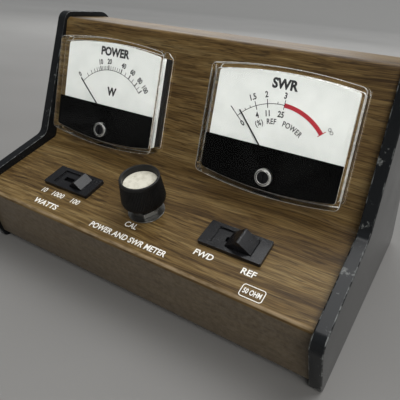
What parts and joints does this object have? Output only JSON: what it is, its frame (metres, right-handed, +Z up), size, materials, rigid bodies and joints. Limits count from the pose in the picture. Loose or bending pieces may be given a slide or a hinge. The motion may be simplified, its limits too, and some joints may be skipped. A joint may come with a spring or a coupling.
{
  "type": "swr meter",
  "caption": "Free-standing radio power and standing-wave-ratio meter: sloped wood-grain cabinet, black end caps, two panel meters, calibration knob, slide switches, rear coaxial sockets.",
  "frame": {"origin": "on the table, midway along the width and the depth of the whole set", "axes": "+X along the front to the right as the user sees it, +Y to the back, +Z up; the meters face -Y"},
  "size_m": [0.159, 0.1344, 0.1019],
  "materials": {
    "woodgrain_vinyl": "satin walnut-grain vinyl film over sheet steel",
    "black_enamel": "fine-textured black enamel",
    "cap_plastic": "glossy moulded black, scuffed along the edges",
    "plated_steel": "zinc plated",
    "pot_steel": "dull plated",
    "clear_plastic": "clear moulded polystyrene",
    "mask_black": "gloss black paint",
    "dial_white": "matt white scale plate with black printing",
    "housing_black": "moulded black",
    "soft_iron": "plated",
    "magnet": "ground",
    "brass": "bright",
    "pointer_black": "matt black",
    "copper_wire": "enamelled copper wire",
    "arm_nickel": "bright",
    "screw_black": "moulded black",
    "knob_black": "finely ribbed black",
    "insert_ivory": "ivory",
    "switch_black": "moulded black",
    "phenolic_brown": "phenolic laminate",
    "nickel_plate": "nickel plated brass",
    "ptfe_white": "white insulator",
    "part_body": "moulded component bodies"
  },
  "bodies": {
    "case": {"front_panel": "woodgrain_vinyl", "base_tray": "black_enamel", "rear_panel": "black_enamel", "left_end_cap": "cap_plastic", "right_end_cap": "cap_plastic", "end_cap_screws": "plated_steel", "base_screws": "plated_steel", "power_meter_cover": "clear_plastic", "power_meter_mask": "mask_black", "power_meter_dial": "dial_white", "power_meter_housing": "housing_black", "power_meter_yoke": "soft_iron", "power_meter_core": "magnet", "power_meter_bridge": "brass", "power_meter_fixings": "brass", "power_meter_terminals": "brass", "swr_meter_cover": "clear_plastic", "swr_meter_mask": "mask_black", "swr_meter_dial": "dial_white", "swr_meter_housing": "housing_black", "swr_meter_yoke": "soft_iron", "swr_meter_core": "magnet", "swr_meter_bridge": "brass", "swr_meter_fixings": "brass", "swr_meter_terminals": "brass", "cal_control_body": "pot_steel", "cal_control_nut": "plated_steel", "cal_control_washer": "plated_steel", "range_switch_bezel": "switch_black", "range_switch_frame": "plated_steel", "range_switch_terminals": "phenolic_brown", "mode_switch_bezel": "switch_black", "mode_switch_frame": "plated_steel", "mode_switch_terminals": "phenolic_brown", "transmitter_socket": "nickel_plate", "antenna_socket": "nickel_plate", "socket_insulators": "ptfe_white", "socket_contacts": "brass", "socket_screws": "plated_steel", "coupler_board": "phenolic_brown", "coupler_parts": "part_body"},
    "cal_control_knob": {"cal_knob": "knob_black", "cal_knob_insert": "insert_ivory", "cal_shaft": "plated_steel", "cal_wiper": "brass"},
    "range_slider": {"range_switch_slider": "switch_black", "range_switch_contact": "brass"},
    "mode_slider": {"mode_switch_slider": "switch_black", "mode_switch_contact": "brass"},
    "power_adjuster": {"power_zero_screw": "screw_black"},
    "power_corrector": {"power_zero_arm": "arm_nickel"},
    "power_movement": {"power_pointer": "pointer_black", "power_moving_coil": "copper_wire", "power_hairspring": "brass"},
    "swr_adjuster": {"swr_zero_screw": "screw_black"},
    "swr_corrector": {"swr_zero_arm": "arm_nickel"},
    "swr_movement": {"swr_pointer": "pointer_black", "swr_moving_coil": "copper_wire", "swr_hairspring": "brass"}
  },
  "joints": [
    {"name": "power_zero_adjust", "type": "hinge", "parent": "case", "child": "power_adjuster", "pos_m": [-0.0395, -0.0273, 0.05526], "axis": [0, 0.9871, -0.1599], "range_deg": [-30, 30]},
    {"name": "power_corrector_turn", "type": "hinge", "parent": "case", "child": "power_corrector", "pos_m": [-0.0395, -0.02456, 0.05968], "axis": [0, 0.9871, -0.1599], "range_deg": [-9, 9]},
    {"name": "power_needle", "type": "hinge", "parent": "power_corrector", "child": "power_movement", "pos_m": [-0.0395, -0.02357, 0.05952], "axis": [0, 0.9871, -0.1599], "range_deg": [0, 96], "stiffness_Nm_per_rad": 0.00005},
    {"name": "swr_zero_adjust", "type": "hinge", "parent": "case", "child": "swr_adjuster", "pos_m": [0.0395, -0.0273, 0.05526], "axis": [0, 0.9871, -0.1599], "range_deg": [-30, 30]},
    {"name": "swr_corrector_turn", "type": "hinge", "parent": "case", "child": "swr_corrector", "pos_m": [0.0395, -0.02456, 0.05968], "axis": [0, 0.9871, -0.1599], "range_deg": [-9, 9]},
    {"name": "swr_needle", "type": "hinge", "parent": "swr_corrector", "child": "swr_movement", "pos_m": [0.0395, -0.02357, 0.05952], "axis": [0, 0.9871, -0.1599], "range_deg": [-5.5, 90.5], "stiffness_Nm_per_rad": 0.00005},
    {"name": "cal_turn", "type": "hinge", "parent": "case", "child": "cal_control_knob", "pos_m": [0, -0.04545, 0.03967], "axis": [0, 0.3256, -0.9455], "range_deg": [-150, 150]},
    {"name": "range_select", "type": "slide", "parent": "case", "child": "range_slider", "axis": [-1, 0, 0], "range_m": [0, 0.0086]},
    {"name": "forward_reflected_select", "type": "slide", "parent": "case", "child": "mode_slider", "axis": [-1, 0, 0], "range_m": [0, 0.0054]}
  ],
  "couplings": [
    {"joint": "power_corrector_turn", "follows": "power_zero_adjust", "ratio": -0.3},
    {"joint": "swr_corrector_turn", "follows": "swr_zero_adjust", "ratio": -0.3}
  ]
}
